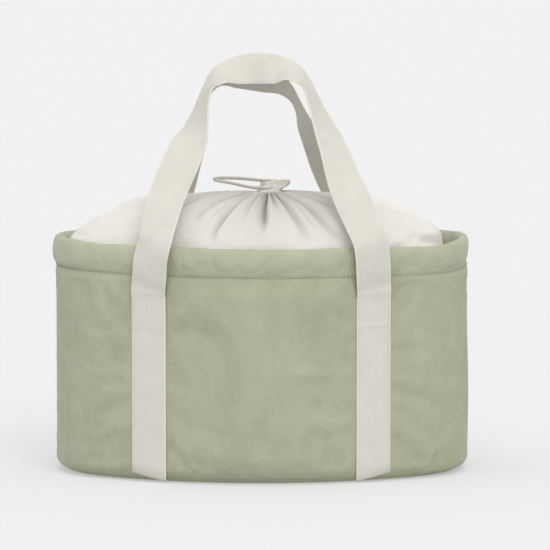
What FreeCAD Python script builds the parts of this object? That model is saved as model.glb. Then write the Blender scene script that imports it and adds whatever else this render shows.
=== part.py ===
"""Soft insulated tote with a gathered drawstring cover and two webbing handles.

Millimetres.  +Z is up, +X runs along the bag's length, -Y is its front.
The origin is on the floor under the middle of the bag.
"""
import FreeCAD, Part
import math
import os

os.makedirs("parts", exist_ok=True)
V = FreeCAD.Vector

# ---- the bag's oval plan and its height ----
half_length = 223.0          # outer shell, middle to end
half_depth = 135.0           # outer shell, middle to front
end_radius = 98.0            # radius of the two rounded ends
rim_height = 257.0           # floor to the top of the rolled rim
bottom_round = 18.0          # how the wall turns under at the floor
base_seam_height = 5.0       # where wall panels meet the base panel

# ---- layers, from outside to inside ----
shell_thickness = 1.2
foam_thickness = 7.0
liner_thickness = 0.8
board_thickness = 2.5
board_margin = 9.0           # the stiffener stops short of the turned bottom edge

# ---- rolled rim ----
rim_band_depth = 32.0        # how far the band comes down, inside and out
rim_band_wall = 1.6
rim_round = 5.0
rim_overlap = 8.0            # shell and liner run this far up inside the band
foam_top_gap = 0.3
foam_round = 2.8             # the foam wall's top edges

# ---- gathered cover ----
cover_thickness = 1.4
cover_sewn_depth = 25.0      # the cover's lower edge sits this far below the rim
cover_to_rim = 0.2           # cover lies against the rim band's inner face
crown_height = 45.0          # gathered mouth above the rim
neck_x = 8.0                 # the gathers meet a little off the middle
mouth_half_length = 16.0
mouth_half_depth = 14.5

# ---- casing frill above the gathered mouth ----
casing_gap = 0.6             # between the cover's mouth and the casing that lifts
casing_foot_radius = 13.0
casing_waist_radius = 11.8
frill_radius = 21.0
frill_height = 13.5
frill_wall = 2.4
casing_floor = 4.0           # cloth gathered above the cord, inside the frill
casing_lip = 1.0             # how far that gathering stays inside the waist

# ---- drawstring ----
cord_diameter = 3.5
cord_clearance = 0.3
ring_radius = 8.0            # centre line of the cord inside the casing
ring_rise = 4.86             # that cord above the casing's foot
ring_start_turn = -90.0      # degrees, the front exit
ring_sweep = 110.0           # degrees round the right side to the back exit
knot_diameter = 9.5
knot_length = 11.0
knot_lump_start = 0.66       # the lump begins here and leaves a short tail
knot_lump_end = 9.46
back_run = 13.2              # straight cord out of the back exit

# ---- cord lock ----
lock_x = 10.0                # where the two cords pass through it
lock_y = 54.0
lock_tilt = 20.0             # degrees, it lies on the cover's back slope
lock_diameter = 16.0
lock_wall = 2.1
lock_travel = 4.0            # how far the button presses
lock_rise = 2.6              # its middle above the gathered mouth, clear of the cloth
button_proud = 1.5           # left standing out when pressed
button_web = 2.2             # plastic behind the button's slot
spring_diameter = 6.4
spring_wire = 0.7
spring_turns = 4
spring_clearance = 0.1       # at each end of the spring
button_clearance = 0.3       # between button and bore
lock_lip = 1.0               # barrel left past the pressed slot
lock_round = 2.0
button_round = 1.4

# ---- webbing ----
strap_width = 40.0
strap_thickness = 2.2
strap_x = 120.0              # middle of each strap from the bag's middle
strap_seam_drop = 50.0       # the handles leave the wall this far below the rim
hinge_gap = 1.0              # free webbing clear of the sewn webbing
rim_bulge = 7.0              # the free webbing bows out over the rim
grip_width = 36.0
seam_clear = 2.0             # free webbing starts this far above the seam
rim_clear = 5.0              # and is at its widest this far above the rim
seam_rise = 30.0             # height over which it bows out from the seam
leg_share = 0.7              # a leg ends at its first station past this share of the climb
beyond = 400.0               # longer than the bag, for cutting

# ---- how the free webbing lies, chosen by hand ----
# Each station is: how far in from the strap's middle, share of the way from the bow over
# the rim to the grip, share of the climb from the rim to the grip, twist in degrees, and
# how much narrower the webbing has rolled.
front_handle = {
    "grip_x": -3.5, "grip_depth": 11.5, "grip_height": 438.0, "grip_twist": 17,
    "right": [
        (12, 0.12, 0.10, 14, 0), (22, 0.24, 0.22, 9, 0), (31, 0.38, 0.34, 24, 0),
        (44, 0.60, 0.55, 45, 0), (56, 0.76, 0.71, 63, 0), (70, 0.89, 0.89, 76, 0),
        (80, 0.92, 0.95, 67, 1), (90, 0.95, 0.98, 54, 2), (101, 0.98, 0.99, 34, 3),
    ],
    "left": [
        (12, 0.12, 0.10, 20, 0), (18, 0.24, 0.22, 14, 0), (26, 0.38, 0.34, 6, 0),
        (34, 0.48, 0.44, 6, 0), (42, 0.60, 0.55, 20, 0), (48, 0.68, 0.63, 46, 0),
        (57, 0.83, 0.80, 74, 0), (63, 0.90, 0.88, 74, 0), (72, 0.93, 0.94, 62, 2),
        (82, 0.96, 0.97, 48, 3), (96, 0.98, 0.99, 30, 4),
    ],
}
back_handle = {
    "grip_x": -12.0, "grip_depth": 12.0, "grip_height": 429.0, "grip_twist": 20,
    "right": [
        (20, 0.06, 0.11, 10, 0), (34, 0.14, 0.22, 8, 0), (46, 0.34, 0.36, 22, 0),
        (56, 0.58, 0.50, 38, 0), (67, 0.71, 0.63, 57, 0), (74, 0.80, 0.73, 73, 0),
        (83, 0.88, 0.82, 77, 0), (95, 0.93, 0.90, 62, 1), (111, 0.97, 0.96, 36, 3),
    ],
    "left": [
        (17, 0.12, 0.11, 14, 0), (26, 0.24, 0.23, 8, 0), (33, 0.43, 0.39, 12, 0),
        (40, 0.60, 0.53, 24, 0), (46, 0.70, 0.64, 45, 0), (50, 0.79, 0.73, 62, 0),
        (55, 0.86, 0.82, 75, 0), (62, 0.91, 0.90, 72, 0), (71, 0.94, 0.96, 60, 2),
        (86, 0.97, 1.00, 34, 3),
    ],
}


def oval_wire(a, b, r, z, cx=0.0):
    """Four-centre oval: two end arcs of radius r, two long arcs tangent to them."""
    big = ((a - r) ** 2 + b ** 2 - r ** 2) / (2.0 * (b - r))
    tx = (a - r) * big / (big - r)
    ty = (b - big) + (big - b) * big / (big - r)
    right = Part.Arc(V(cx + tx, -ty, z), V(cx + a, 0, z), V(cx + tx, ty, z))
    back = Part.Arc(V(cx + tx, ty, z), V(cx, b, z), V(cx - tx, ty, z))
    left = Part.Arc(V(cx - tx, ty, z), V(cx - a, 0, z), V(cx - tx, -ty, z))
    front = Part.Arc(V(cx - tx, -ty, z), V(cx, -b, z), V(cx + tx, -ty, z))
    return Part.Wire([arc.toShape() for arc in (right, back, left, front)])


def oval_prism(inset, low, high):
    """The bag's oval, moved inwards by inset, from low to high."""
    wire = oval_wire(half_length - inset, half_depth - inset, end_radius - inset, low)
    return Part.Face(wire).extrude(V(0, 0, high - low))


def round_edges(solid, z, radius):
    """Round every edge of the solid that lies flat at height z."""
    edges = []
    for edge in solid.Edges:
        box = edge.BoundBox
        if abs(box.ZMin - z) < 1e-4 and abs(box.ZMax - z) < 1e-4:
            edges.append(edge)
    return solid.makeFillet(radius, edges)


def tub(inset, high):
    """Outer form of a layer: oval walls that turn under at the bottom."""
    return round_edges(oval_prism(inset, inset, high), inset, bottom_round - inset)


def slab(low, high, y_low=-beyond, y_high=beyond, x_low=-beyond, x_high=beyond):
    return Part.makeBox(x_high - x_low, y_high - y_low, high - low, V(x_low, y_low, low))


def save(name, shape):
    """Write one node; a compound keeps its separate solids."""
    solids = shape.Solids
    kept = solids[0] if len(solids) == 1 else Part.makeCompound(solids)
    kept.exportStep("parts/%s.step" % name)
    box = kept.BoundBox
    print("%-24s %d solid  x %7.1f %7.1f  y %7.1f %7.1f  z %7.1f %7.1f  %s" % (
        name, len(solids), box.XMin, box.XMax, box.YMin, box.YMax, box.ZMin, box.ZMax,
        "ok" if kept.isValid() else "INVALID"))
    return kept


# ---- values that follow from the sizes above ----
foam_inset = shell_thickness
liner_inset = foam_inset + foam_thickness
inside_inset = liner_inset + liner_thickness
board_top = shell_thickness + board_thickness
floor_of_liner = board_top + foam_thickness
band_bottom = rim_height - rim_band_depth
band_inner_inset = inside_inset + rim_band_wall
skin_top = band_bottom + rim_overlap
foam_top = rim_height - rim_band_wall - foam_top_gap
cover_inset = band_inner_inset + cover_to_rim
strap_seam_height = rim_height - strap_seam_drop
cover_bottom = rim_height - cover_sewn_depth
crown_z = rim_height + crown_height
casing_z = crown_z + casing_gap
ring_z = casing_z + ring_rise
cord_radius = cord_diameter / 2.0
lock_z = crown_z + lock_rise


def make_shell():
    """Nylon outer: a base panel and a front and a back wall panel."""
    skin = tub(0, skin_top).cut(tub(foam_inset, skin_top + 1))
    save("base_panel", skin.common(slab(-1, base_seam_height)))
    walls = skin.common(slab(base_seam_height, skin_top))
    save("shell_front", walls.common(slab(-1, rim_height, y_high=0)))
    save("shell_back", walls.common(slab(-1, rim_height, y_low=0)))


def make_insulation():
    """Stiffener, foam sheets and the sealed liner inside the shell."""
    core = tub(foam_inset, foam_top)
    board = oval_prism(board_margin, foam_inset, board_top)
    save("base_board", board.common(core))
    low_core = core.common(slab(0, floor_of_liner))
    save("foam_base", low_core.cut(oval_prism(board_margin, 0, board_top)))
    ring = core.common(slab(floor_of_liner, foam_top)).cut(
        oval_prism(liner_inset, floor_of_liner - 1, foam_top + 1))
    ring = round_edges(ring, foam_top, foam_round)
    save("foam_front", ring.common(slab(0, rim_height, y_high=0)))
    save("foam_back", ring.common(slab(0, rim_height, y_low=0)))
    liner_wall = oval_prism(liner_inset, floor_of_liner, skin_top).cut(
        oval_prism(inside_inset, floor_of_liner - 1, skin_top + 1))
    save("liner_wall", liner_wall)
    save("liner_base", oval_prism(inside_inset, floor_of_liner, floor_of_liner + liner_thickness))


def make_rim_band():
    """Nylon band folded over the top of the wall and stitched through it."""
    outer = oval_prism(-rim_band_wall, band_bottom, rim_height).cut(
        oval_prism(band_inner_inset, band_bottom - 1, rim_height + 1))
    outer = round_edges(outer, rim_height, rim_round)
    channel_top = rim_height - rim_band_wall
    channel = oval_prism(0, band_bottom - 1, channel_top).cut(
        oval_prism(inside_inset, band_bottom - 2, channel_top + 1))
    channel = round_edges(channel, channel_top, rim_round - rim_band_wall)
    save("rim_band", outer.cut(channel))


def cover_rings(inward):
    """Ovals from the rim up to the mouth; inward gives the cloth's inner face."""
    edge_length = half_length - cover_inset
    edge_depth = half_depth - cover_inset
    rise = crown_z - rim_height
    roundness = (end_radius - cover_inset) / edge_depth
    shape = [                # share of length, share of depth, height
        (1.00, 1.00, cover_bottom),
        (0.99, 0.985, rim_height - 8.0),
        (0.955, 0.935, rim_height + 0.05 * rise),
        (0.890, 0.850, rim_height + 0.26 * rise),
        (0.790, 0.710, rim_height + 0.52 * rise),
        (0.675, 0.560, rim_height + 0.72 * rise),
        (0.530, 0.410, rim_height + 0.86 * rise),
        (0.330, 0.265, rim_height + 0.955 * rise),
    ]
    rings = []
    for along, across, z in shape:
        rings.append((edge_length * along, edge_depth * across, z))
    rings.append((mouth_half_length, mouth_half_depth, crown_z))
    wires = []
    for index, (a, b, z) in enumerate(rings):
        shift = neck_x * index / (len(rings) - 1.0)
        low = z if index == 0 else z - inward
        wires.append(oval_wire(a - inward, b - inward, roundness * (b - inward), low, shift))
    return wires


def make_cover():
    """Cotton cover sewn inside the rim and drawn up to a small mouth."""
    outer = Part.makeLoft(cover_rings(0.0), True, True)
    wires = cover_rings(cover_thickness)
    inner = Part.makeLoft(wires, True, True)
    mouth = Part.Face(wires[-1]).extrude(V(0, 0, cover_thickness + 1))
    foot = Part.Face(wires[0]).extrude(V(0, 0, -1))
    cover = outer.cut(inner).cut(mouth).cut(foot)
    return save("cover_skirt", cover)


def tube(points, diameter):
    """Round tube on straight runs joined by tangent arcs."""
    points = [V(*p) for p in points]
    edges = []
    radii = []
    start = points[0]
    for before, corner, after in zip(points, points[1:], points[2:]):
        run_in = corner.sub(before)
        run_out = after.sub(corner)
        turn = run_in.getAngle(run_out)
        setback = 0.45 * min(run_in.Length, run_out.Length)
        radii.append(setback / math.tan(turn / 2.0))
        u_in = V(run_in).normalize()
        u_out = V(run_out).normalize()
        arc_start = corner.sub(V(u_in).multiply(setback))
        arc_end = corner.add(V(u_out).multiply(setback))
        inner = V(u_out).sub(u_in).normalize()
        sag = radii[-1] / math.cos(turn / 2.0) - radii[-1]
        middle = corner.add(V(inner).multiply(sag))
        edges.append(Part.LineSegment(start, arc_start).toShape())
        edges.append(Part.Arc(arc_start, middle, arc_end).toShape())
        start = arc_end
    edges.append(Part.LineSegment(start, points[-1]).toShape())
    path = Part.Wire(edges)
    heading = points[1].sub(points[0])
    section = Part.Wire([Part.Circle(points[0], heading, diameter / 2.0).toShape()])
    solid = path.makePipeShell([section], True, False)
    expected = math.pi * diameter ** 2 / 4.0 * path.Length
    print("   cord length %.0f mm, volume/expected %.3f, radii %s" % (
        path.Length, solid.Volume / expected, " ".join("%.0f" % r for r in radii)))
    return solid


def lock_frame(shape):
    """Place a cord-lock shape drawn about its own cord hole."""
    shape.rotate(V(0, 0, 0), V(1, 0, 0), -lock_tilt)
    shape.translate(V(lock_x, lock_y, lock_z))
    return shape


def lock_point(x, y, z):
    """A point of the lock's own frame, in the bag's frame."""
    tilt = math.radians(-lock_tilt)
    return (lock_x + x,
            lock_y + y * math.cos(tilt) - z * math.sin(tilt),
            lock_z + y * math.sin(tilt) + z * math.cos(tilt))


hole_half = cord_radius + cord_clearance
stack = cord_radius + cord_clearance / 2.0   # the two cords pass one over the other
slot_half_height = stack + hole_half
bore_radius = lock_diameter / 2.0 - lock_wall
button_radius = bore_radius - button_clearance
button_inner_end = -hole_half - button_web
spring_seat = button_inner_end - lock_travel - spring_turns * spring_wire / 2.0
lock_closed_end = spring_seat - lock_wall
lock_open_end = hole_half + lock_travel + lock_lip
button_outer_end = lock_open_end + lock_travel + button_proud


def cylinder_along_x(radius, low, high):
    return Part.makeCylinder(radius, high - low, V(low, 0, 0), V(1, 0, 0))


def make_cord_lock():
    """Spring lock: pressing the button lines its slot up with the barrel's hole."""
    body = cylinder_along_x(lock_diameter / 2.0, lock_closed_end, lock_open_end)
    body = body.makeFillet(lock_round, [e for e in body.Edges if e.Closed and e.Length > 1])
    body = body.cut(cylinder_along_x(bore_radius, spring_seat, lock_open_end + 1))
    hole = Part.makeBox(2 * hole_half, 2 * lock_diameter, 2 * slot_half_height,
                        V(-hole_half, -lock_diameter, -slot_half_height))
    save("cord_lock_barrel", lock_frame(body.cut(hole)))

    button = cylinder_along_x(button_radius, button_inner_end, button_outer_end)
    cap_edges = [e for e in button.Edges
                 if e.Closed and abs(e.BoundBox.Center.x - button_outer_end) < 1e-3]
    button = button.makeFillet(button_round, cap_edges)
    slot = Part.makeBox(2 * hole_half + lock_travel, 2 * lock_diameter, 2 * slot_half_height,
                        V(-hole_half, -lock_diameter, -slot_half_height))
    save("cord_lock_button", lock_frame(button.cut(slot)))

    length = button_inner_end - spring_seat - spring_wire - 2 * spring_clearance
    mean_radius = (spring_diameter - spring_wire) / 2.0
    helix = Part.makeHelix(length / spring_turns, length, mean_radius)
    section = Part.Wire([Part.Circle(V(mean_radius, 0, 0), V(0, 1, 0), spring_wire / 2.0).toShape()])
    coil = Part.Wire(helix.Edges).makePipeShell([section], True, True)
    coil.rotate(V(0, 0, 0), V(0, 1, 0), 90)
    coil.translate(V(spring_seat + spring_wire / 2.0 + spring_clearance, 0, 0))
    save("cord_lock_spring", lock_frame(coil))


def ring_point(turn):
    angle = math.radians(turn)
    return (neck_x + ring_radius * math.cos(angle), ring_radius * math.sin(angle), ring_z)


def cord_routes():
    """Hand-laid routes of the two free ends of the drawstring."""
    front_exit = ring_point(ring_start_turn)
    back_exit = ring_point(ring_start_turn + ring_sweep)
    loop_run = [
        front_exit,
        (-5.0, -ring_radius, ring_z),
        (-18.5, -8.9, 309.6),
        (-32.0, -11.0, 313.3),
        (-44.5, -10.0, 315.0),
        (-53.0, 1.2, 316.2),
        (-48.3, 14.3, 316.8),
        (-34.0, 18.0, 316.6),
        (-18.0, 15.5, 316.0),
        (-4.0, 17.0, 314.4),
        (7.0, 26.0, 312.6),
        lock_point(0, -14.0, stack),
        lock_point(0, 22.0, stack),
        (5.5, 93.0, 285.4),
        (-8.5, 104.0, 273.8),
        (-27.0, 108.0, 269.0),
        (-48.0, 105.5, 269.0),
        (-70.0, 102.0, 268.0),
        (-92.0, 96.0, 268.0),
        (-111.0, 88.0, 268.4),
        (-126.0, 81.0, 268.8),
        (-136.0, 69.0, 272.8),
        (-131.0, 56.0, 282.8),
        (-117.0, 52.0, 288.0),
        (-99.0, 57.0, 289.2),
        (-80.0, 66.0, 288.6),
        (-64.5, 75.5, 288.8),
    ]
    leave = math.radians(ring_start_turn + ring_sweep)
    short_run = [
        back_exit,
        (back_exit[0] - back_run * math.sin(leave), back_exit[1] + back_run * math.cos(leave), ring_z),
        lock_point(0, -14.0, -stack),
        lock_point(0, 22.0, -stack),
        (15.0, 91.5, 284.0),
        (28.0, 103.0, 273.6),
        (47.0, 106.5, 268.3),
        (68.0, 102.0, 268.8),
        (89.0, 94.0, 270.8),
        (107.5, 87.0, 271.4),
        (122.0, 80.5, 272.0),
        (134.0, 70.5, 275.2),
        (131.0, 56.0, 284.8),
        (117.0, 50.5, 289.9),
        (98.0, 58.0, 290.7),
        (83.0, 69.0, 290.0),
    ]
    return loop_run, short_run


def make_knot(name, end, before):
    """Overhand knot drawn tight at the end of a cord."""
    heading = V(*end).sub(V(*before)).normalize()
    start = V(knot_lump_start, cord_radius, 0)
    waist = V(knot_lump_end, cord_radius, 0)
    lump = Part.Arc(start, V((start.x + waist.x) / 2.0, knot_diameter / 2.0, 0), waist)
    outline = Part.Wire([
        Part.makeLine(V(0, 0, 0), V(0, cord_radius, 0)),
        Part.makeLine(V(0, cord_radius, 0), start),
        lump.toShape(),
        Part.makeLine(waist, V(knot_length, cord_radius, 0)),
        Part.makeLine(V(knot_length, cord_radius, 0), V(knot_length, 0, 0)),
        Part.makeLine(V(knot_length, 0, 0), V(0, 0, 0)),
    ])
    knot = Part.Face(outline).revolve(V(0, 0, 0), V(1, 0, 0), 360)
    knot.Placement = FreeCAD.Placement(V(*end), FreeCAD.Rotation(V(1, 0, 0), heading))
    save(name, knot)


def make_neck():
    """Casing frill above the mouth, the cord inside it, and the cord's free ends."""
    floor_z = ring_z + casing_floor
    top = casing_z + frill_height
    profile = [
        V(0, 0, casing_z), V(casing_foot_radius, 0, casing_z), V(casing_waist_radius, 0, ring_z),
        V(frill_radius, 0, top), V(frill_radius - frill_wall, 0, top),
        V(casing_waist_radius - casing_lip, 0, floor_z), V(0, 0, floor_z),
        V(0, 0, casing_z),
    ]
    frill = Part.Face(Part.makePolygon(profile)).revolve(V(0, 0, 0), V(0, 0, 1), 360)
    frill.translate(V(neck_x, 0, 0))
    ring = Part.makeTorus(ring_radius, cord_radius, V(0, 0, 0), V(0, 0, 1), -180, 180, ring_sweep)
    ring.rotate(V(0, 0, 0), V(0, 0, 1), ring_start_turn)
    ring.translate(V(neck_x, 0, ring_z))
    save("drawstring_in_casing", ring)
    loop_run, short_run = cord_routes()
    loop = tube(loop_run, cord_diameter)
    short = tube(short_run, cord_diameter)
    save("drawstring_loop_end", loop)
    save("drawstring_short_end", short)
    save("casing_frill", frill.cut(ring).cut(loop).cut(short))
    make_knot("knot_loop_end", loop_run[-1], loop_run[-2])
    make_knot("knot_short_end", short_run[-1], short_run[-2])


def make_sewn_straps():
    """Webbing stitched flat to the wall, from the base seam to the handle seam."""
    high = strap_seam_height
    skin = tub(-strap_thickness, high).cut(tub(0, high + 1))
    half = strap_width / 2.0
    for side, x in (("left", -strap_x), ("right", strap_x)):
        column = skin.common(slab(base_seam_height, high, x_low=x - half, x_high=x + half))
        save("strap_front_%s" % side, column.common(slab(0, high, y_high=0)))
        save("strap_back_%s" % side, column.common(slab(0, high, y_low=0)))


def wall_depth(inset, x):
    """Distance of the oval's long arc from the middle, at x."""
    a = half_length - inset
    b = half_depth - inset
    r = end_radius - inset
    big = ((a - r) ** 2 + b ** 2 - r ** 2) / (2.0 * (b - r))
    return b - big + math.sqrt(big ** 2 - x ** 2)


hinge_depth = (wall_depth(-strap_thickness, strap_x - strap_width / 2.0)
               + hinge_gap + strap_thickness / 2.0)


def handle_stations(handle):
    """Webbing from the right seam over the grip to the left seam, seen from the front.

    Each station is x, distance from the middle plane, height, twist in degrees
    (0 faces the front, 90 is edge on) and width.
    """
    bow = hinge_depth + rim_bulge
    over = rim_height + rim_clear
    lean = bow - handle["grip_depth"]
    climb = handle["grip_height"] - over
    legs = {}
    for side in ("right", "left"):
        legs[side] = [
            (strap_x, hinge_depth, strap_seam_height + seam_clear, 0, strap_width),
            (strap_x - 1, bow, strap_seam_height + seam_rise, 0, strap_width),
            (strap_x - 4, bow, over, 0, strap_width),
        ]
        for inward, leaned, climbed, twist, rolled in handle[side]:
            legs[side].append((strap_x - inward, bow - leaned * lean, over + climbed * climb,
                               twist, strap_width - rolled))
    middle = (handle["grip_x"], handle["grip_depth"], handle["grip_height"],
              handle["grip_twist"], grip_width)
    left = [(-x, depth, z, twist, width) for x, depth, z, twist, width in reversed(legs["left"])]
    return legs["right"] + [middle] + left


def handle_sections(handle, side):
    """Rectangles across the webbing at each station; side is -1 in front, +1 behind."""
    stations = handle_stations(handle)
    centres = [V(station[0], side * station[1], station[2]) for station in stations]
    towards_middle = V(0, -side, 0)
    wires = []
    for index, station in enumerate(stations):
        twist, width = station[3:]
        ahead = centres[min(index + 1, len(centres) - 1)]
        behind = centres[max(index - 1, 0)]
        tangent = ahead.sub(behind).normalize()
        outward = V(0, 1, 0).cross(tangent).normalize()
        edgeways = V(towards_middle).sub(
            V(tangent).multiply(towards_middle.dot(tangent))).normalize()
        angle = math.radians(twist)
        across = V(outward).multiply(math.cos(angle)).add(
            V(edgeways).multiply(math.sin(angle))).normalize()
        normal = tangent.cross(across).normalize()
        half_w = V(across).multiply(width / 2.0)
        half_t = V(normal).multiply(strap_thickness / 2.0)
        centre = centres[index]
        corners = [
            centre.add(half_w).add(half_t), centre.add(half_w).sub(half_t),
            centre.sub(half_w).sub(half_t), centre.sub(half_w).add(half_t),
        ]
        wires.append(Part.makePolygon(corners + corners[:1]))
    return wires


def make_handle(name, handle, side):
    """Each handle is one length of webbing: two legs and a grip."""
    wires = handle_sections(handle, side)
    over = rim_height + rim_clear
    turn = over + leg_share * (handle["grip_height"] - over)
    high = [index for index, station in enumerate(handle_stations(handle)) if station[2] > turn]
    spans = {
        "leg_right": wires[:high[0] + 1],
        "grip": wires[high[0]:high[-1] + 1],
        "leg_left": wires[high[-1]:],
    }
    for piece, span in spans.items():
        save("%s_%s" % (name, piece), Part.makeLoft(span, True, True))


make_shell()
make_insulation()
make_rim_band()
make_cover()
make_neck()
make_cord_lock()
make_sewn_straps()
make_handle("front_handle", front_handle, -1)
make_handle("back_handle", back_handle, 1)
print("hinge depth %.3f, height %.3f" % (hinge_depth, strap_seam_height))
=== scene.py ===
import bmesh
import bpy
import math
import random
from mathutils import Matrix, Vector, noise


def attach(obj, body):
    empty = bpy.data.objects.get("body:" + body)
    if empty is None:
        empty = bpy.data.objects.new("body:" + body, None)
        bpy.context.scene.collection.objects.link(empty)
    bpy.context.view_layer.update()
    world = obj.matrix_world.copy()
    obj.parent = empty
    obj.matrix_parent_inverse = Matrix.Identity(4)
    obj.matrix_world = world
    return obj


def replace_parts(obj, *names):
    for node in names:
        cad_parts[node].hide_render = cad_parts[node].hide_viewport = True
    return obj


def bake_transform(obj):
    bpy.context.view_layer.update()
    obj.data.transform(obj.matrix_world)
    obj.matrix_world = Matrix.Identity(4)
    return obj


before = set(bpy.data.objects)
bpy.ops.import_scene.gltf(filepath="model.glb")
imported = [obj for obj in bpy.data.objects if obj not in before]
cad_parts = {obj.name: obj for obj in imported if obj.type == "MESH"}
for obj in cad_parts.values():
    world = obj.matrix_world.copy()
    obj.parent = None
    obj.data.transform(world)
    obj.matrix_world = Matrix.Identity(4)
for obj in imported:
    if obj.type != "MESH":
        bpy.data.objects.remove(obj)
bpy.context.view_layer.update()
scene = bpy.context.scene
scene.view_settings.view_transform = "Standard"
print("packed bag loaded,", len(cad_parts), "nodes")


# camera, lights and floor
shot = {"place": (0.0147, -4.5, 0.66), "pitch": 5.69, "lens": 271.3}
cameraData = bpy.data.cameras.new("shotCamera")
cameraData.lens = shot["lens"]
camera = bpy.data.objects.new("shotCamera", cameraData)
camera.location = shot["place"]
camera.rotation_euler = (math.radians(90 - shot["pitch"]), 0, 0)
scene.collection.objects.link(camera)
scene.camera = camera

studio = {
    "sky": (0.871, 0.871, 0.871), "skyStrength": 1.0,
    "lamps": [  # name, where it shines from, softness in degrees, strength
        ("keyLamp", (0.22, -1.0, 0.9), 42, 1.35),
        ("topLamp", (-0.25, -0.1, 1.0), 60, 0.35),
    ],
}
world = bpy.data.worlds.new("studioSky")
world.use_nodes = True
world.node_tree.nodes["Background"].inputs["Color"].default_value = (*studio["sky"], 1)
world.node_tree.nodes["Background"].inputs["Strength"].default_value = studio["skyStrength"]
scene.world = world
for name, place, softness, strength in studio["lamps"]:
    lampData = bpy.data.lights.new(name, "SUN")
    lampData.angle, lampData.energy = math.radians(softness), strength
    lamp = bpy.data.objects.new(name, lampData)
    lamp.location = place
    lamp.rotation_euler = (-Vector(place)).to_track_quat("-Z", "Y").to_euler()
    scene.collection.objects.link(lamp)
print("camera and lights set")


# shader sums written as Python sums
class Strand:
    def __init__(self, finish, socket):
        self.finish, self.socket = finish, socket

    def sum(self, operation, *values):
        return self.finish.node("ShaderNodeMath", {"operation": operation}, dict(enumerate(values)))

    def __add__(self, other): return self.sum("ADD", self, other)
    def __radd__(self, other): return self.sum("ADD", other, self)
    def __sub__(self, other): return self.sum("SUBTRACT", self, other)
    def __rsub__(self, other): return self.sum("SUBTRACT", other, self)
    def __mul__(self, other): return self.sum("MULTIPLY", self, other)
    def __rmul__(self, other): return self.sum("MULTIPLY", other, self)
    def __pow__(self, other): return self.sum("POWER", self, other)
    def __abs__(self): return self.sum("ABSOLUTE", self)
    def wave(self): return self.sum("SINE", self)
    def over(self, level): return self.sum("GREATER_THAN", self, level)


class Finish:
    def __init__(self, name, **fixed):
        self.material = bpy.data.materials.new(name)
        self.material.use_nodes = True
        self.tree = self.material.node_tree
        self.shader = self.tree.nodes["Principled BSDF"]
        for socket, value in fixed.items():
            self.shader.inputs[socket.replace("_", " ")].default_value = value

    def node(self, kind, settings=None, sockets=None, output=0):
        made = self.tree.nodes.new(kind)
        for name, value in (settings or {}).items():
            if name == "stops":
                for index, (position, colour) in enumerate(value):
                    stop = made.color_ramp.elements[index] if index < 2 else made.color_ramp.elements.new(position)
                    stop.position, stop.color = position, (*colour, 1)
            else:
                setattr(made, name, value)
        for name, value in (sockets or {}).items():
            if isinstance(value, Strand):
                self.tree.links.new(value.socket, made.inputs[name])
            else:
                made.inputs[name].default_value = value
        return Strand(self, made.outputs[output])

    def place(self):
        return self.node("ShaderNodeTexCoord", output="Object")

    def stretched(self, scale):
        return self.node("ShaderNodeMapping", None, {"Vector": self.place(), "Scale": scale})

    def cut(self):
        uv = self.node("ShaderNodeUVMap", {"uv_map": "cut"})
        return [self.node("ShaderNodeSeparateXYZ", None, {"Vector": uv}, axis) for axis in (0, 1)]

    def noise(self, where, scale, detail=3.0, rough=0.55):
        return self.node("ShaderNodeTexNoise", None,
                         {"Vector": where, "Scale": scale, "Detail": detail, "Roughness": rough})

    def blendOf(self, share, first, second):
        return self.node("ShaderNodeMix", {"data_type": "RGBA"}, {0: share, 6: first, 7: second}, 2)

    def feed(self, **sockets):
        for name, value in sockets.items():
            self.tree.links.new(value.socket, self.shader.inputs[name.replace("_", " ")])

    def relief(self, height, depth, under=None):
        sockets = {"Height": height, "Strength": 1.0, "Distance": depth}
        if under:
            sockets["Normal"] = under
        return self.node("ShaderNodeBump", None, sockets)


def dye(red, green, blue):
    def linear(part):
        part /= 255
        return part / 12.92 if part <= 0.04045 else ((part + 0.055) / 1.055) ** 2.4
    return (linear(red), linear(green), linear(blue), 1)


# the finishes
def sageNylon(name, light, dark, crinkle=0.0016):
    finish = Finish(name, Specular_IOR_Level=0.35, Sheen_Weight=0.06, Sheen_Roughness=0.45)
    where = finish.place()
    across, along = finish.cut()
    mottle = finish.noise(where, 11, 4) * 0.55 + finish.noise(where, 46, 3) * 0.45
    folds = finish.noise(finish.stretched((150, 150, 34)), 1, 4, 0.6)
    grain = (across * 7850).wave() * (along * 7850).wave()
    # the colour follows the crinkle bump a little, so the low crinkles are painted darker: painted shade over the
    # cloth's random mottling
    share = finish.node("ShaderNodeMapRange", None,
                        {"Value": mottle + folds * 0.16, "From Min": 0.36, "From Max": 0.8})
    finish.feed(Base_Color=finish.blendOf(share, dark, light),
                Roughness=0.56 + 0.12 * finish.noise(where, 70),
                Normal=finish.relief(folds + 0.5 * finish.noise(where, 210), crinkle, finish.relief(grain, 0.00008)))
    return finish.material


def creamCotton():
    finish = Finish("creamCotton", Specular_IOR_Level=0.25, Sheen_Weight=0.05, Sheen_Roughness=0.5,
                    Subsurface_Weight=0.08, Subsurface_Scale=0.004)
    where = finish.place()
    across, along = finish.cut()
    slub = finish.noise(finish.stretched((320, 320, 60)), 1, 3)
    weave = (across * 6283).wave() * (along * 6283).wave()
    share = finish.noise(where, 24, 4) * 0.6 + slub * 0.4
    # painted shade: the cloth is painted a darker warm grey where its folds sink in, as if the hollows lay in shade
    foldShade = finish.node("ShaderNodeAttribute", {"attribute_name": "foldShade"}, output=2)
    plain = finish.blendOf(share, dye(219, 215, 207), dye(229, 226, 219))
    finish.feed(Base_Color=finish.blendOf(foldShade ** 2.2 * 0.62, plain, dye(150, 138, 124)),
                Roughness=0.82 + 0.1 * slub,
                Normal=finish.relief(finish.noise(where, 75, 4, 0.6), 0.0009,
                                     finish.relief(weave + slub * 0.4, 0.00012)))
    return finish.material


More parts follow.
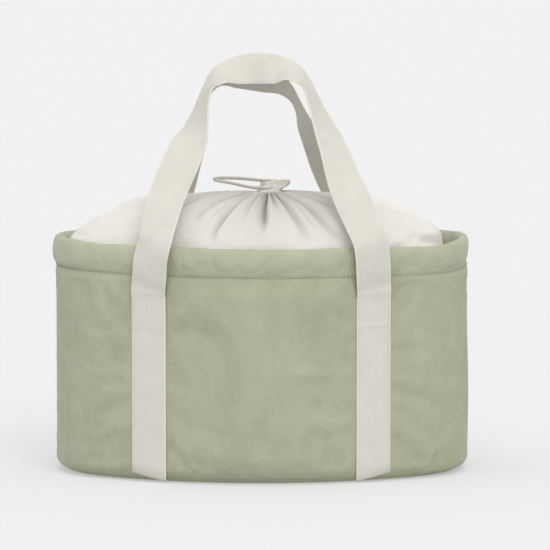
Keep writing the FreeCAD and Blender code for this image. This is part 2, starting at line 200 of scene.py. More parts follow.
def creamWebbing():
    finish = Finish("creamWebbing", Specular_IOR_Level=0.2, Sheen_Weight=0.05, Sheen_Roughness=0.5)
    where = finish.place()
    across, along = finish.cut()
    ribs = (along * 5712 + (across * 2094).wave() * 0.4).wave()
    ends = (across * 4189).wave()
    edge = abs(across - 0.02).over(0.0182)
    wear = finish.noise(where, 60, 4)
    share = 0.5 + ribs * 0.12 + (wear - 0.5) * 0.8
    tone = finish.blendOf(share, dye(201, 197, 187), dye(215, 212, 204))
    finish.feed(Base_Color=finish.blendOf(edge, tone, dye(220, 217, 209)),
                Roughness=0.74 + 0.14 * wear,
                Normal=finish.relief(ribs + ends * 0.35 + edge * 0.8, 0.00013, finish.relief(wear, 0.0007)))
    return finish.material


def creamCord():
    finish = Finish("creamCord", Roughness=0.7, Specular_IOR_Level=0.3, Sheen_Weight=0.2)
    where = finish.node("ShaderNodeVectorMath", {"operation": "SCALE"}, {0: finish.place(), 3: 1.0})
    x, y, z = [finish.node("ShaderNodeSeparateXYZ", None, {"Vector": where}, axis) for axis in (0, 1, 2)]
    braid = ((x + z) * 4300).wave() * ((y - z) * 4300).wave()
    share = 0.5 + braid * 0.3 + (finish.noise(where, 90) - 0.5) * 0.6
    finish.feed(Base_Color=finish.blendOf(share, dye(196, 192, 180), dye(226, 223, 213)),
                Normal=finish.relief(braid, 0.00035))
    return finish.material


def threadFinish(name, colour, shade):
    finish = Finish(name, Roughness=0.6, Specular_IOR_Level=0.35)
    twist = (finish.noise(finish.place(), 900) * 0.8 + 0.1)
    finish.feed(Base_Color=finish.blendOf(twist, shade, colour))
    return finish.material


def innerFinish(name, light, dark, scale, rough, depth, **fixed):
    finish = Finish(name, **fixed)
    where = finish.place()
    cells = finish.node("ShaderNodeTexVoronoi", None, {"Vector": where, "Scale": scale})
    share = finish.noise(where, scale * 0.12) * 0.7 + cells * 0.3
    finish.feed(Base_Color=finish.blendOf(share, dark, light),
                Roughness=rough + 0.15 * finish.noise(where, scale * 0.3),
                Normal=finish.relief(cells, depth))
    return finish.material


nylon = sageNylon("sageNylon", dye(170, 173, 147), dye(154, 157, 131))
# the rim band is the same nylon as the wall, painted lighter: painted light on the bag's top edge
litRimNylon = sageNylon("sageNylonRim", dye(179, 182, 156), dye(162, 166, 140), 0.0011)
cotton = creamCotton()
webbing = creamWebbing()
cordFinish = creamCord()
sageThread = threadFinish("sageThread", dye(150, 156, 124), dye(118, 124, 96))
creamThread = threadFinish("creamThread", dye(232, 228, 217), dye(200, 195, 182))
foam = innerFinish("whiteFoam", dye(232, 232, 228), dye(212, 212, 206), 900, 0.85, 0.0004)
liner = innerFinish("silverLiner", dye(206, 208, 210), dye(176, 178, 181), 260, 0.3, 0.0005, Metallic=0.65)
board = innerFinish("greyBoard", dye(126, 122, 114), dye(98, 95, 88), 420, 0.8, 0.0003)
lockPlastic = innerFinish("creamPlastic", dye(222, 217, 204), dye(206, 200, 186), 1500, 0.42, 0.00012)
springSteel = innerFinish("springSteel", dye(186, 186, 188), dye(150, 150, 153), 1200, 0.28, 0.00008, Metallic=1.0)
print("finishes mixed")


# small helpers
def smoothStep(low, high, value):
    t = min(1, max(0, (value - low) / (high - low)))
    return t * t * (3 - 2 * t)


def hill(centre, width, value):
    return math.exp(-((value - centre) / width) ** 2)


def ripple(x, y, z=0.0):
    return noise.noise(Vector((x, y, z)))


def roundRipple(share, count, y, z=0.0):
    # the same, but it meets itself after one turn
    angle, radius = 2 * math.pi * share, count / (2 * math.pi)
    return noise.noise(Vector((radius * math.cos(angle), radius * math.sin(angle), y + 7.3 * z)))


def smoothTable(rows):
    # a smooth reading between rows of (position, value, value ...)
    def read(position):
        i = 0
        while i < len(rows) - 2 and position > rows[i + 1][0]:
            i += 1
        here, there = rows[i], rows[i + 1]
        last, following = rows[max(i - 1, 0)], rows[min(i + 2, len(rows) - 1)]
        width = there[0] - here[0]
        t = min(1, max(0, (position - here[0]) / width))
        values = []
        for a, b, before, after in zip(here[1:], there[1:], last[1:], following[1:]):
            slopeIn = (b - before) / (there[0] - last[0])
            slopeOut = (after - a) / (following[0] - here[0])
            eased = a + (b - a) * t * t * (3 - 2 * t)
            values.append(eased + width * (slopeIn * t * (1 - t) ** 2 - slopeOut * t * t * (1 - t)))
        return values
    return read


def clothGrid(name, columns, rows, cut, place, finish, merge=False):
    bm = bmesh.new()
    bmesh.ops.create_grid(bm, x_segments=columns, y_segments=rows, size=0.5)
    layer = bm.loops.layers.uv.new("cut")
    for face in bm.faces:
        for loop in face.loops:
            loop[layer].uv = ((loop.vert.co.x + 0.5) * cut[0], (loop.vert.co.y + 0.5) * cut[1])
    for vert in bm.verts:
        vert.co = place(vert.co.x + 0.5, vert.co.y + 0.5)
    if merge:
        bmesh.ops.remove_doubles(bm, verts=bm.verts, dist=0.00002)
    return newPiece(name, bm, finish)


def newPiece(name, bm, finish):
    mesh = bpy.data.meshes.new(name)
    bm.to_mesh(mesh)
    bm.free()
    mesh.materials.append(finish)
    mesh.shade_smooth()
    piece = bpy.data.objects.new(name, mesh)
    scene.collection.objects.link(piece)
    return piece


def settle(piece):
    # the modifiers become the mesh
    graph = bpy.context.evaluated_depsgraph_get()
    mesh = bpy.data.meshes.new_from_object(piece.evaluated_get(graph), preserve_all_data_layers=True, depsgraph=graph)
    piece.modifiers.clear()
    piece.data = mesh
    mesh.name = piece.name


def drape(piece, hold, frames, excess, push, pull, bend, inward, outward):
    # lets the cloth find its creases: hold gives how firmly each point is sewn, inward and outward how far it may go
    sewn = piece.vertex_groups.new(name="sewn")
    rest = [(vert.co.copy(), vert.normal.copy()) for vert in piece.data.vertices]
    for vert in piece.data.vertices:
        weight = hold(vert.co)
        if weight > 0.01:
            sewn.add([vert.index], weight, "REPLACE")
    cloth = piece.modifiers.new("drape", "CLOTH")
    cloth.settings.quality = 6
    cloth.settings.mass = 0.15
    cloth.settings.tension_stiffness = cloth.settings.compression_stiffness = 12
    cloth.settings.bending_stiffness = bend
    cloth.settings.vertex_group_mass = "sewn"
    cloth.settings.shrink_min = -excess
    cloth.settings.use_pressure = push != 0
    cloth.settings.uniform_pressure_force = push
    cloth.settings.effector_weights.gravity = pull
    cloth.point_cache.frame_start, cloth.point_cache.frame_end = 1, frames
    for step in range(1, frames + 1):
        scene.frame_set(step)
    settle(piece)
    piece.vertex_groups.clear()
    scene.frame_set(1)
    for vert, (start, normal) in zip(piece.data.vertices, rest):
        move = vert.co - start
        rise = move.dot(normal)
        slide = move - normal * rise
        if slide.length > outward:
            slide *= outward / slide.length
        vert.co = start + slide + normal * min(outward, max(-inward, rise))


def finer(piece, thickness=0.0, offset=-1.0, levels=1):
    if thickness:
        wall = piece.modifiers.new("thickness", "SOLIDIFY")
        wall.thickness, wall.offset = thickness, offset
    if levels:
        smoother = piece.modifiers.new("smoother", "SUBSURF")
        smoother.levels = smoother.render_levels = levels


def stitches(name, runs, length, thick, finish, body="bag"):
    # one small oval of thread for each (place, direction)
    bm = bmesh.new()
    for place, direction in runs:
        turn = Vector(direction).to_track_quat("Z", "Y").to_matrix().to_4x4()
        shape = Matrix.Translation(place) @ turn @ Matrix.Diagonal((thick, thick, length / 2, 1))
        bmesh.ops.create_icosphere(bm, subdivisions=1, radius=1, matrix=shape)
    piece = newPiece(name, bm, finish)
    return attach(piece, body)


# the bag's oval
bag = {"halfLength": 0.223, "halfDepth": 0.135, "endRadius": 0.098, "rim": 0.257, "round": 0.018,
       "bandDepth": 0.032, "baseSeam": 0.005}
groove = bag["rim"] - bag["bandDepth"]


def ovalAt(a, b, r, share):
    # share of the way round from the right end, by the back; gives place and outward direction
    big = ((a - r) ** 2 + b ** 2 - r ** 2) / (2 * (b - r))
    joint = math.atan2(big - b, a - r)
    endRun, longRun = r * joint, big * (math.pi / 2 - joint)
    quarter, run = divmod((share % 1) * 4, 1)
    run *= endRun + longRun
    if quarter % 2:
        run = endRun + longRun - run
    if run < endRun:
        angle, radius, cx, cy = run / r, r, a - r, 0
    else:
        angle, radius, cx, cy = joint + (run - endRun) / big, big, 0, b - big
    nx, ny = math.cos(angle), math.sin(angle)
    x, y = cx + radius * nx, cy + radius * ny
    sx, sy = (-1 if quarter in (1, 2) else 1), (-1 if quarter in (2, 3) else 1)
    return x * sx, y * sy, nx * sx, ny * sy


def turnedIn(height):
    low = bag["round"] - height
    return bag["round"] - math.sqrt(max(0, bag["round"] ** 2 - low ** 2)) if low > 0 else 0


def wallAt(share, height, out):
    x, y, nx, ny = ovalAt(bag["halfLength"], bag["halfDepth"], bag["endRadius"], share)
    out -= turnedIn(height)
    return Vector((x + nx * out, y + ny * out, height))


rimSag = smoothTable([  # share of the way round, how far the rim sinks
    (0.00, 0.0), (0.50, 0.0), (0.56, 0.0012), (0.60, 0.0025), (0.645, 0.0036), (0.75, 0.0050), (0.857, 0.0052),
    (0.90, 0.0062), (0.93, 0.0064), (0.965, 0.0030), (1.00, 0.0),
])


def sagAt(share):
    return rimSag(share % 1)[0]


def wallBeside(x, height, out, side):
    # the wall's front (side -1) or back (side 1) at x
    a, b, r = bag["halfLength"], bag["halfDepth"], bag["endRadius"]
    big = ((a - r) ** 2 + b ** 2 - r ** 2) / (2 * (b - r))
    radius = big + out - turnedIn(height)
    return Vector((x, side * (b - big + math.sqrt(radius ** 2 - x ** 2)), height))


# the drawstring's two free ends
drawstring = {"diameter": 0.0035, "loopLength": 0.458, "shortLength": 0.299}
loopRoute = [
    (0.008, -0.008, 0.30746), (-0.005, -0.008, 0.30746), (-0.0185, -0.0089, 0.3096), (-0.032, -0.011, 0.3133),
    (-0.0445, -0.010, 0.315), (-0.053, 0.0012, 0.3162), (-0.0483, 0.0143, 0.3168), (-0.034, 0.018, 0.3166),
    (-0.018, 0.0155, 0.316), (-0.004, 0.017, 0.3144), (0.007, 0.026, 0.3126), (0.010, 0.04149, 0.31117),
    (0.010, 0.07532, 0.29886), (0.0055, 0.093, 0.2854), (-0.0085, 0.104, 0.2738), (-0.027, 0.108, 0.269),
    (-0.048, 0.1055, 0.269), (-0.070, 0.102, 0.268), (-0.092, 0.096, 0.268), (-0.111, 0.088, 0.2684),
    (-0.126, 0.081, 0.2688), (-0.136, 0.069, 0.2728), (-0.131, 0.056, 0.2828), (-0.117, 0.052, 0.288),
    (-0.099, 0.057, 0.2892), (-0.080, 0.066, 0.2886), (-0.0645, 0.0755, 0.2888),
]
shortRoute = [
    (0.01552, 0.00274, 0.30746), (0.0110, 0.01514, 0.30746), (0.010, 0.04019, 0.3076), (0.010, 0.07402, 0.29529),
    (0.015, 0.0915, 0.284), (0.028, 0.103, 0.2736), (0.047, 0.1065, 0.2683), (0.068, 0.102, 0.2688),
    (0.089, 0.094, 0.2708), (0.1075, 0.087, 0.2714), (0.122, 0.0805, 0.272), (0.134, 0.0705, 0.2752),
    (0.131, 0.056, 0.2848), (0.117, 0.0505, 0.2899), (0.098, 0.058, 0.2907), (0.083, 0.069, 0.290),
]


def layCord(name, route, thickness):
    curve = bpy.data.curves.new(name, "CURVE")
    curve.dimensions = "3D"
    curve.bevel_depth = thickness / 2
    curve.bevel_resolution = 3
    curve.use_fill_caps = True
    curve.resolution_u = 6
    spline = curve.splines.new("NURBS")
    spline.points.add(len(route) - 1)
    for point, place in zip(spline.points, route):
        point.co = (*place, 1)
    spline.order_u = 3
    spline.use_endpoint_u = True
    curve.materials.append(cordFinish)
    piece = bpy.data.objects.new(name, curve)
    scene.collection.objects.link(piece)
    return piece


def tieKnot(name, route, node):
    # a small overhand knot pulled tight on the cord's end, with a short tail
    knot = {"size": 0.00175, "length": 0.011}
    end = Vector(route[-1])
    heading = (end - Vector(route[-2])).normalized()
    turn = heading.to_track_quat("Z", "Y").to_matrix().to_4x4()
    curve = bpy.data.curves.new(name, "CURVE")
    curve.dimensions = "3D"
    curve.bevel_depth = 0.0016
    curve.bevel_resolution = 3
    curve.resolution_u = 4
    spline = curve.splines.new("NURBS")
    spline.points.add(17)
    for index, point in enumerate(spline.points):
        t = index / 18 * 2 * math.pi
        point.co = (knot["size"] * (math.cos(t) - 1.1 * math.cos(2 * t)),
                    knot["size"] * (math.sin(t) + 1.1 * math.sin(2 * t)),
                    0.005 - 0.0022 * math.sin(3 * t), 1)
    spline.order_u = 3
    spline.use_cyclic_u = True
    loop = bpy.data.objects.new(name, curve)
    scene.collection.objects.link(loop)
    bpy.context.view_layer.update()
    graph = bpy.context.evaluated_depsgraph_get()
    mesh = bpy.data.meshes.new_from_object(loop.evaluated_get(graph))
    bpy.data.objects.remove(loop)
    bm = bmesh.new()
    bm.from_mesh(mesh)
    bmesh.ops.create_cone(bm, segments=14, radius1=0.00175, radius2=0.00165, depth=knot["length"], cap_ends=True,
                          matrix=Matrix.Translation((0, 0, knot["length"] / 2)))
    bmesh.ops.bevel(bm, geom=[edge for edge in bm.edges if all(v.co.z > knot["length"] - 1e-5 for v in edge.verts)],
                    offset=0.0005, segments=2, profile=0.5, affect="EDGES", material=-1)
    bmesh.ops.transform(bm, matrix=Matrix.Translation(end) @ turn, verts=bm.verts)
    piece = newPiece(name, bm, cordFinish)
    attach(piece, "cover_neck")
    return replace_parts(piece, node)


loopCord = layCord("loopCord", loopRoute, drawstring["diameter"])
shortCord = layCord("shortCord", shortRoute, drawstring["diameter"])
loopKnot = tieKnot("loopKnot", loopRoute, "knot_loop_end")
shortKnot = tieKnot("shortKnot", shortRoute, "knot_short_end")
for piece, node in ((loopCord, "drawstring_loop_end"), (shortCord, "drawstring_short_end")):
    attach(piece, "cover_neck")
    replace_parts(piece, node)
print("drawstring laid")


# the foam inside the wall
foamWall = {"outer": 0.0015, "thick": 0.0065, "low": 0.0108, "top": 0.0052}


def foamSheet(name, firstShare, node):
    def place(u, v):
        share = firstShare + 0.5 * u
        high = bag["rim"] - foamWall["top"] - sagAt(share)
        return wallAt(share, foamWall["low"] + (high - foamWall["low"]) * v, -foamWall["outer"])

    piece = clothGrid(name, 110, 10, (0.57, 0.24), place, foam)
    finer(piece, foamWall["thick"], -1.0, 0)
    settle(piece)
    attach(piece, "bag")
    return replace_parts(piece, node)


foamSheet("foamSheetFront", 0.5, "foam_front")
foamSheet("foamSheetBack", 0.0, "foam_back")
print("foam cut")


# the padded wall, front and back
band = {"columns": 300, "rows": 30, "seamSag": 0.75, "length": 1.145}
wall = {"stand": 0.0012, "bulge": 0.0030, "columns": 150, "rows": 54, "strapX": 0.12, "strapWidth": 0.04}


def wallPanel(name, firstShare, side, node):
    low, high = bag["baseSeam"], groove + 0.008

    def place(u, v):
        share = firstShare + 0.5 * u
        height = low + (high - low) * v
        x = wallAt(share, height, 0).x
        flat = max(hill(0.12, 0.034, abs(x)) * 0.9, hill(0, 0.06, u), hill(1, 0.06, u))
        swell = math.sin(math.pi * min(1, (height - low) / (groove - low))) ** 0.7 * (1 - flat)
        out = wall["stand"] + wall["bulge"] * swell
        out += 0.0022 * smoothStep(0.12, 0.2, x) * hill(0.08, 0.07, height)
        out += 0.0012 * ripple(share * 26, height * 11, side) * swell
        out += 0.0010 * ripple(share * 150, height * 9, side) * hill(groove - 0.012, 0.020, height)
        out += 0.0009 * ripple(share * 110, height * 16, side + 4) * hill(0.155, 0.026, abs(x))
        line = groove - band["seamSag"] * sagAt(share)
        tuck = smoothStep(line - 0.0055, line - 0.0005, height)
        return wallAt(share, height, max(out, 0.0003) * (1 - tuck) + 0.0001 * tuck)

    piece = clothGrid(name, wall["columns"], wall["rows"], (0.5725, high - low), place, nylon)

    def hold(co):
        if co.z < low + 0.003 or co.z > groove - (0.0085 if side < 0 else 0.003) or abs(co.y) < 0.002:
            return 1.0
        fromStrap = abs(abs(co.x) - wall["strapX"])
        if fromStrap < wall["strapWidth"] / 2 + 0.001:
            return 0.9
        return 0.0

    drape(piece, hold, frames=18, excess=0.018, push=0.5, pull=0.0, bend=0.3, inward=0.0012, outward=0.005)
    for vert in piece.data.vertices:  # the foam keeps the cloth out
        if abs(vert.co.x) < 0.17:
            foamFace = wallBeside(vert.co.x, vert.co.z, 0.0004, side)
            if (vert.co.y - foamFace.y) * side < 0:
                vert.co.y = foamFace.y
    finer(piece, 0.0011)
    settle(piece)
    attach(piece, "bag")
    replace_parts(piece, node)
    return piece


wallPanel("wallFront", 0.5, -1, "shell_front")
wallPanel("wallBack", 0.0, 1, "shell_back")
print("padded walls sewn")


# the rolled band over the top edge, stitched through
bandShape = smoothTable([  # share of the way over, out from the wall, height under the rim's top
    (0.00, -0.0008, -0.0324), (0.05, 0.0006, -0.0308), (0.14, 0.0020, -0.0255), (0.27, 0.0026, -0.0165),
    (0.38, 0.0020, -0.0085), (0.46, -0.0002, -0.0022), (0.53, -0.0040, 0.0002), (0.60, -0.0082, -0.0018),
    (0.68, -0.0106, -0.0078), (0.80, -0.0112, -0.0165), (0.93, -0.0108, -0.0262), (1.00, -0.0096, -0.0318),
])


def bandPlace(u, v):
    out, rise = bandShape(v)
    outside = hill(0.25, 0.2, v)
    top = hill(0.5, 0.16, v)
    out += outside * (0.0009 * roundRipple(u, 46, v * 3, 1) + 0.0006 * roundRipple(u, 120, v * 4, 5))
    out -= hill(0.03, 0.07, v) * 0.0007 * max(0, roundRipple(u, 330, 2, 8))
    rise += top * (0.0011 * roundRipple(u, 22, 0.5, 3) + 0.0005 * roundRipple(u, 70, 1.5, 4))
    x, y, nx, ny = ovalAt(bag["halfLength"], bag["halfDepth"], bag["endRadius"], u)
    end = smoothStep(0.185, 0.222, x)
    out -= 0.0022 * end * outside
    lift = 0.0030 * end * (1 - top)   # the band's seam climbs round the right end
    rise += lift * hill(0.0, 0.3, v)
    rise -= sagAt(u) * (band["seamSag"] + (1 - band["seamSag"]) * smoothStep(0, 0.45, v) * smoothStep(1, 0.55, v))
    return Vector((x + nx * out, y + ny * out, bag["rim"] + rise))


rimBand = clothGrid("rimBand", band["columns"], band["rows"], (1.145, 0.082), bandPlace, litRimNylon, merge=True)


def bandHold(co):
    return 1.0 if co.z < groove + 0.003 else 0.0


drape(rimBand, bandHold, frames=14, excess=0.02, push=0.25, pull=0.0, bend=0.25, inward=0.0012,
      outward=0.0018)
finer(rimBand, 0.0009)
settle(rimBand)
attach(rimBand, "bag")
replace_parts(rimBand, "rim_band")
bandStitch = {"pitch": 0.0040, "length": 0.0029, "thick": 0.00045}
bandRuns = []
for index in range(int(band["length"] / bandStitch["pitch"])):
    share = index * bandStitch["pitch"] / band["length"]
    line, after = [groove + 0.0004 - band["seamSag"] * sagAt(place) for place in (share, share + 0.001)]
    here = wallAt(share, line, 0.0009)
    bandRuns.append((here, wallAt(share + 0.001, after, 0.0009) - here))
stitches("bandStitching", bandRuns, bandStitch["length"], bandStitch["thick"], sageThread)
print("rim band rolled and stitched")


# the base panel under the wall
def basePlace(u, v):
    x, y, nx, ny = ovalAt(bag["halfLength"], bag["halfDepth"], bag["endRadius"], u)
    if v < 0.86:
        scale = v / 0.86
        inset = bag["round"]
        return Vector(((x - nx * inset) * scale, (y - ny * inset) * scale, 0.0003))
    angle = (v - 0.86) / 0.14 * math.acos(1 - bag["baseSeam"] / bag["round"])
    inset = bag["round"] * (1 - math.sin(angle))
    height = bag["round"] * (1 - math.cos(angle)) + 0.0003
    inset -= 0.0010 * math.sin(angle * 1.5)
    return Vector((x - nx * inset, y - ny * inset, height))


basePanel = clothGrid("basePanel", 160, 36, (1.1, 0.13), basePlace, nylon, merge=True)
bm = bmesh.new()
bm.from_mesh(basePanel.data)
bmesh.ops.recalc_face_normals(bm, faces=bm.faces)
if sum(face.normal.z * face.calc_area() for face in bm.faces) > 0:
    bmesh.ops.reverse_faces(bm, faces=bm.faces)
bm.to_mesh(basePanel.data)
bm.free()
finer(basePanel, 0.0010)
settle(basePanel)
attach(basePanel, "bag")
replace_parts(basePanel, "base_panel")
print("base panel cut")


# the gathered cover
cover = {"thickness": 0.0011, "columns": 232, "rows": 52, "neckX": 0.008, "girth": 1.10, "slope": 0.150,
         "creaseDepth": 0.009}
coverShape = smoothTable([  # share of the way in, half length, half depth, height, shift to the neck
    (0.00, 0.2118, 0.1238, 0.2330, 0.0), (0.06, 0.2108, 0.1228, 0.2470, 0.0003),
    (0.13, 0.2040, 0.1165, 0.2580, 0.001), (0.26, 0.1895, 0.1055, 0.2690, 0.002),
    (0.42, 0.1680, 0.0885, 0.2802, 0.003), (0.57, 0.1430, 0.0698, 0.2888, 0.004),
    (0.71, 0.1110, 0.0505, 0.2950, 0.005), (0.84, 0.0690, 0.0335, 0.2996, 0.0062),
    (0.94, 0.0330, 0.0195, 0.3018, 0.0072),
    (1.00, 0.0150, 0.0138, 0.3030, 0.008),
])
handFolds = [  # round the neck, width, depth, how far down it reaches
    (0.701, 0.0060, 0.0088, 0.02), (0.738, 0.0045, 0.0085, 0.70), (0.7485, 0.0062, 0.0120, 0.16),
    (0.768, 0.0050, 0.0056, 0.46), (0.793, 0.0055, 0.0080, 0.02), (0.831, 0.0090, 0.0078, 0.0),
    (0.722, 0.0050, 0.0052, 0.34), (0.665, 0.0080, 0.0056, 0.30), (0.625, 0.0090, 0.0066, 0.10),
    (0.868, 0.0100, 0.0050, 0.30), (0.812, 0.0045, 0.0040, 0.18), (0.684, 0.0040, 0.0036, 0.22),
]
dice = random.Random(7)
for place in (0.02, 0.055, 0.10, 0.135, 0.18, 0.205, 0.24, 0.275, 0.31, 0.335, 0.38, 0.415,
              0.455, 0.49, 0.535, 0.575, 0.91, 0.95, 0.985):   # the rest of the way round
    handFolds.append((place + dice.uniform(-0.008, 0.008), dice.uniform(0.008, 0.014),
                      dice.uniform(0.0032, 0.0062), dice.uniform(0.15, 0.6)))


def evenTurn(u):
    return u - 0.55 * math.sin(2 * math.pi * (u - 0.75)) / (2 * math.pi)   # closer rows of cloth in front


def foldDepth(turn, v):
    sink = 0.0
    for centre, width, depth, reach in handFolds:
        bend = centre + 0.006 * math.sin(v * 6 + centre * 40) * (1 - v)
        distance = (turn - bend + 0.5) % 1 - 0.5
        if abs(distance) < width * 4:
            along = smoothStep(reach, reach + 0.42, v) ** 0.8 * (1 - 0.35 * smoothStep(0.9, 1.0, v))
            side = width * (0.45 if distance > 0 else 1.3)
            sink += depth * along * (hill(0, side, distance) - 0.34 * hill(width, width * 1.3, distance))
    return sink


def coverPlace(u, v):
    u = evenTurn(u)
    a, b, z, shift = coverShape(v)
    roundness = 0.70 * b + (1 - b / 0.1238) * 0.22 * b
    share = u + 0.004 * roundRipple(u, 9, v * 2.5, 2) * v
    x, y, nx, ny = ovalAt(a, b, roundness, share)
    sink = foldDepth(u, v) * (1 - 0.25 * smoothStep(0.86, 1, v))
    sink -= 0.0022 * roundRipple(u, 14, v * 3, 9) * smoothStep(0.1, 0.4, v)
    slope = smoothStep(0.03, 0.2, v)
    lean = 0.38 * slope * smoothStep(1.0, 0.6, 1 - v)
    if v > 0.97:
        lean = 0.9
    z += (0.0020 * hill(-0.140, 0.045, x) - 0.0026 * hill(0.172, 0.03, x)) * hill(0.45, 0.3, v)
    end = smoothStep(0.55, 0.95, nx)   # the right end falls inside the rim
    x -= 0.006 * end * hill(0.13, 0.08, v)
    z -= 0.013 * end * hill(0.13, 0.075, v)
    return Vector((x + shift - nx * sink * lean, y - ny * sink * lean, z - sink * slope * (1 - 0.4 * lean)))


coverCloth = clothGrid("gatheredCover", cover["columns"], cover["rows"], (cover["girth"], cover["slope"]),
                       coverPlace, cotton, merge=True)


def coverHold(co):
    toNeck = math.hypot(co.x - cover["neckX"], co.y)
    return 1.0 if co.z < 0.2445 or toNeck < 0.021 else 0.0


drape(coverCloth, coverHold, frames=16, excess=0.014, push=0.12, pull=0.0, bend=0.08, inward=0.004,
      outward=0.005)
# the painted fold shade: each point's share of the darkening, taken from how deep its fold sinks
shaded = coverCloth.data.attributes.new("foldShade", "FLOAT", "POINT")
flat = coverCloth.data.uv_layers["cut"].data
for loop in coverCloth.data.loops:
    u, v = flat[loop.index].uv.x / cover["girth"], flat[loop.index].uv.y / cover["slope"]
    sunk = min(1, max(0, foldDepth(evenTurn(u), v) / cover["creaseDepth"]))
    shaded.data[loop.vertex_index].value = sunk * smoothStep(0.05, 0.2, v)
coverArea = sum(face.area for face in coverCloth.data.polygons)
finer(coverCloth, cover["thickness"])
settle(coverCloth)
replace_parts(coverCloth, "cover_skirt")
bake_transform(coverCloth)
print("cover gathered, area", round(coverArea, 4))


# the casing above the gathers: a doubled hem that flops to the right
casing = {"columns": 132, "rows": 14, "waist": 0.0116, "top": 0.0136, "thick": 0.0018,
          "cut": (0.2, 0.014)}


def casingPlace(u, v):
    angle = u * 2 * math.pi
    pleat = math.sin(angle * 5 + 1.3 * math.sin(angle * 2)) + 0.4 * math.sin(angle * 8 + 1)
    flare = smoothStep(0.1, 0.75, v)
    foot = hill(0, 0.22, v)
    wide = casing["waist"] + 0.0024 * foot + 0.0040 * flare + pleat * 0.0006
    deep = casing["waist"] + 0.0022 * foot - 0.0055 * flare + pleat * (0.0006 + 0.0006 * flare)
    height = 0.3018 + v * casing["top"] + 0.0006 * flare * math.sin(angle * 2 + 0.6)
    height -= 0.0022 * flare * max(0, -math.cos(angle))
    return Vector((cover["neckX"] + 0.0072 * flare + wide * math.cos(angle), deep * math.sin(angle), height))


casingCloth = clothGrid("casingRuffle", casing["columns"], casing["rows"], casing["cut"], casingPlace, cotton,
                        merge=True)
finer(casingCloth, casing["thick"])
settle(casingCloth)
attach(casingCloth, "cover_neck")
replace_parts(casingCloth, "casing_frill")
round(coverArea / cover["girth"], 3)
print("casing ruffled")


# the two handles, each one length of webbing sewn down the wall at both ends
handle = {"width": 0.04, "thick": 0.0022, "columns": 8, "rows": 270, "wallTurn": 21.5, "bow": 0.1308,
          "tuckHeight": 0.2045, "tuckRise": 0.0015, "seamLow": 0.203, "seamHigh": 0.222, "seamDepth": 0.124}


def sewnRows(side):
    rows = []
    for height in (0.0056, 0.010, 0.016, 0.028, 0.05, 0.09, 0.13, 0.17, 0.196):
        place = wallBeside(wall["strapX"], height, 0.0030, side)
        rows.append((place.x, abs(place.y), height, handle["wallTurn"], 0.04))
    return rows


# each leg: how far in over the rim and its turn there, then how far in, share of the lean, share of the climb,
# twist and how much narrower the webbing has rolled
frontLay = {
    "grip": (-0.0035, 0.0115, 0.438, 17, 0.036), "right": (0.004, 20), "left": (0.0075, 28),
    "rightLay": [
        (0.012, 0.12, 0.10, 14, 0), (0.022, 0.24, 0.22, 9, 0), (0.031, 0.38, 0.34, 24, 0),
        (0.044, 0.60, 0.55, 45, 0), (0.056, 0.76, 0.71, 63, 0), (0.070, 0.89, 0.89, 76, 0),
        (0.080, 0.92, 0.95, 67, 0.001), (0.090, 0.95, 0.98, 54, 0.002), (0.101, 0.98, 0.99, 34, 0.003),
    ],
    "leftLay": [
        (0.012, 0.12, 0.10, 20, 0), (0.018, 0.24, 0.22, 14, 0), (0.026, 0.38, 0.34, 6, 0),
        (0.034, 0.48, 0.44, 6, 0), (0.042, 0.60, 0.55, 20, 0), (0.048, 0.68, 0.63, 46, 0),
        (0.057, 0.83, 0.80, 74, 0), (0.063, 0.90, 0.88, 74, 0), (0.072, 0.93, 0.94, 62, 0.002),
        (0.082, 0.96, 0.97, 48, 0.003), (0.096, 0.98, 0.99, 30, 0.004),
    ],
}
backLay = {
    "grip": (-0.012, 0.012, 0.429, 20, 0.036), "right": (0.009, 20), "left": (0.008, 22),
    "rightLay": [
        (0.020, 0.06, 0.11, 10, 0), (0.034, 0.14, 0.22, 8, 0), (0.046, 0.34, 0.36, 22, 0),
        (0.056, 0.58, 0.50, 38, 0), (0.067, 0.71, 0.63, 57, 0), (0.074, 0.80, 0.73, 73, 0),
        (0.083, 0.88, 0.82, 77, 0), (0.095, 0.93, 0.90, 62, 0.001), (0.111, 0.97, 0.96, 36, 0.003),
    ],
    "leftLay": [
        (0.017, 0.12, 0.11, 14, 0), (0.026, 0.24, 0.23, 8, 0), (0.033, 0.43, 0.39, 12, 0),
        (0.040, 0.60, 0.53, 24, 0), (0.046, 0.70, 0.64, 45, 0), (0.050, 0.79, 0.73, 62, 0),
        (0.055, 0.86, 0.82, 75, 0), (0.062, 0.91, 0.90, 72, 0), (0.071, 0.94, 0.96, 60, 0.002),
        (0.086, 0.97, 1.00, 34, 0.003),
    ],
}


def freeRows(lay, side):
    reach, turn = lay[side]
    x, depth, height, twist, width = lay["grip"]
    over, bow = bag["rim"] + 0.005, handle["bow"]
    rows = []
    for share, stand, level in ((0, 0.1168, 0.208), (0.15, 0.1225, 0.222), (0.35, 0.1270, 0.240), (1, 0.1285, 0.260)):
        rows.append((wall["strapX"] - reach * share, stand, level,
                     handle["wallTurn"] + (turn - handle["wallTurn"]) * share, handle["width"]))
    for inward, leaned, climbed, twisted, rolled in lay[side + "Lay"]:
        rows.append((wall["strapX"] - inward, bow - leaned * (bow - depth), over + climbed * (height - over),
                     twisted, handle["width"] - rolled))
    return rows


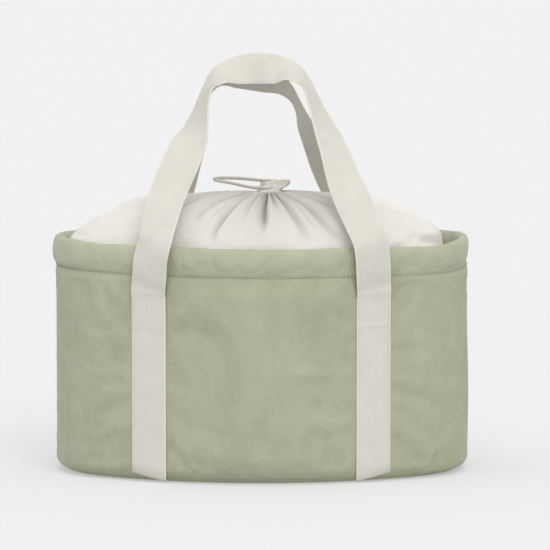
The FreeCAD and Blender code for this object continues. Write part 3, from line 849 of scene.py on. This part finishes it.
def webbingHandle(name, side, lay, nodes):
    right = sewnRows(side) + freeRows(lay, "right")
    left = sewnRows(side) + freeRows(lay, "left")
    stations = right + [lay["grip"]] + [(-x, depth, z, twist, width) for x, depth, z, twist, width in reversed(left)]
    run, rows, last = 0.0, [], None
    for x, depth, z, twist, width in stations:
        here = Vector((x, side * depth, z))
        run += (here - last).length if last else 0.0
        last = here
        rows.append((run, *here, twist, width))
    course = smoothTable(rows)
    towardsMiddle = Vector((0, -side, 0))

    def place(u, v):
        values = course(v * run)
        centre, twist, width = Vector(values[:3]), math.radians(values[3]), values[4]
        ahead, behind = Vector(course(min(run, v * run + 0.001))[:3]), Vector(course(max(0, v * run - 0.001))[:3])
        tangent = (ahead - behind).normalized()
        outward = Vector((0, 1, 0)).cross(tangent).normalized()
        edgeways = (towardsMiddle - tangent * towardsMiddle.dot(tangent)).normalized()
        across = (outward * math.cos(twist) + edgeways * math.sin(twist)).normalized()
        normal = tangent.cross(across).normalized()
        w = (u - 0.5) * width
        sewn = 1 - smoothStep(0.200, 0.222, centre.z)
        cup = -w * w / 0.66 * sewn + handle["tuckRise"] * hill(handle["tuckHeight"], 0.0030, centre.z)
        facing = 1 if normal.y * side > 0 else -1
        edgeCurl = 0.0009 * (2 * u - 1) ** 2 * ripple(v * 9, 4, side)
        cup += (1 - sewn) * (0.0006 * ripple(v * 30, u * 1.2, side) - edgeCurl)
        return centre + across * w + normal * facing * cup

    piece = clothGrid(name, handle["columns"], handle["rows"], (0.04, run), place, webbing)
    finer(piece, handle["thick"], 0.0)
    settle(piece)
    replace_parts(piece, *nodes)
    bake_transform(piece)


webbingHandle("frontHandle", -1, frontLay,
              ["strap_front_left", "strap_front_right", "front_handle_leg_left", "front_handle_grip",
               "front_handle_leg_right"])
webbingHandle("backHandle", 1, backLay,
              ["strap_back_left", "strap_back_right", "back_handle_leg_left", "back_handle_grip",
               "back_handle_leg_right"])

strapStitch = {"pitch": 0.0034, "length": 0.0025, "thick": 0.0004, "inset": 0.0026, "out": 0.0043,
               "low": 0.011, "run": 0.190, "cross": (0.2015, 0.1985, 0.168, 0.165), "crossCount": 10}
strapRuns = []
strapHalf = wall["strapWidth"] / 2 * math.cos(math.radians(handle["wallTurn"])) - strapStitch["inset"]
for side in (-1, 1):
    for x in (-wall["strapX"], wall["strapX"]):
        for edge in (-1, 1):
            line = x + edge * strapHalf
            for index in range(int(strapStitch["run"] / strapStitch["pitch"])):
                height = strapStitch["low"] + index * strapStitch["pitch"]
                here = wallBeside(line, height, strapStitch["out"], side)
                strapRuns.append((here, wallBeside(line, height + 0.001, strapStitch["out"], side) - here))
        for height in strapStitch["cross"]:
            for index in range(strapStitch["crossCount"]):
                line = x + (index - (strapStitch["crossCount"] - 1) / 2) * strapStitch["pitch"]
                here = wallBeside(line, height, strapStitch["out"], side)
                strapRuns.append((here, wallBeside(line + 0.001, height, strapStitch["out"], side) - here))
stitches("strapStitching", strapRuns, strapStitch["length"], strapStitch["thick"], creamThread)
print("handles sewn on")


# finishes of the pieces that keep their shape
for node, finish in (("foam_base", foam), ("liner_wall", liner), ("liner_base", liner), ("base_board", board),
                     ("drawstring_in_casing", cordFinish), ("cord_lock_barrel", lockPlastic),
                     ("cord_lock_button", lockPlastic), ("cord_lock_spring", springSteel)):
    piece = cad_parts[node]
    piece.data.materials.clear()
    piece.data.materials.append(finish)

bm = bmesh.new()
bmesh.ops.create_grid(bm, x_segments=1, y_segments=1, size=40)
# the floor glows a little, so that it stays even
floorFinish = Finish("paleFloor", Roughness=0.9, Specular_IOR_Level=0.0, Base_Color=(0.40, 0.40, 0.40, 1),
                     Emission_Color=(0.376, 0.376, 0.376, 1), Emission_Strength=1.0)
floor = newPiece("paleFloor", bm, floorFinish.material)
print("floor laid")
